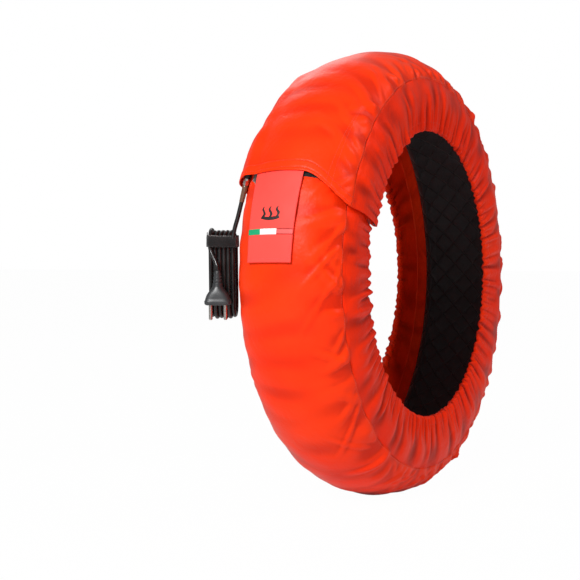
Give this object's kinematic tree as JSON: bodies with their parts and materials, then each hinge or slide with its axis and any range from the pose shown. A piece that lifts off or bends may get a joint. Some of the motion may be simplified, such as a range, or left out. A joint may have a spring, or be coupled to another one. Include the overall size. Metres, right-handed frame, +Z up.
{
  "type": "motorcycle tire warmer",
  "caption": "Padded, electrically heated cloth sleeve that wraps a motorcycle tyre, with elastic hems, an overlapping flap with a pull tab, and a mains lead in a hank.",
  "frame": {"origin": "centre of the sleeve's ring, which is the centre of the wheel it wraps, midway across the tread", "axes": "+Y along the wheel's axle, away from the side that the picture shows; +Z up; -X is the front, where the flap closes over the lower end"},
  "size_m": [0.6287, 0.2226, 0.621],
  "materials": {
    "shell_cloth": "shiny coated nylon, orange red",
    "tab_cloth": "shiny coated nylon, lighter red",
    "lining_cloth": "black heat-proof lining cloth",
    "pad_felt": "pale insulating felt",
    "heater_foil": "woven resistance ribbon",
    "hem_elastic": "knitted elastic",
    "hook_and_loop": "black hook and loop tape",
    "woven_ribbon": "three woven fields, green, white and red",
    "symbol_print": "black transfer print",
    "splice_case": "moulded heat-proof case",
    "nickel": "nickel plated brass",
    "black_rubber": "black silicone rubber",
    "shrink_sleeve": "brown shrink sleeve",
    "cable_jacket": "black rubber jacket, slightly glossy",
    "plug_plastic": "dark grey moulded plug"
  },
  "bodies": {
    "root": {"tread_cover": "shell_cloth", "side_cover_near": "shell_cloth", "side_cover_far": "shell_cloth", "lining": "lining_cloth", "insulation_pad": "pad_felt", "heating_ribbon": "heater_foil", "hem_elastic_near": "hem_elastic", "hem_elastic_far": "hem_elastic", "closure_loop_patch": "hook_and_loop", "closure_hook_patch": "hook_and_loop", "tab_loop_patch": "hook_and_loop", "tab_hook_patch": "hook_and_loop", "pull_tab": "tab_cloth", "tab_ribbon": "woven_ribbon", "heat_symbol": "symbol_print", "lead_splice": "splice_case", "thermostat": "nickel", "lead_boot": "black_rubber", "gland_collar": "nickel", "gland_nut": "nickel", "cable_sleeve": "shrink_sleeve", "inner_lead": "black_rubber", "cable_hank": "cable_jacket", "cable_tie": "hook_and_loop", "power_cable": "cable_jacket", "cable_tail": "cable_jacket", "plug_body": "plug_plastic", "plug_pin_1": "nickel", "plug_pin_2": "nickel"}
  },
  "joints": []
}
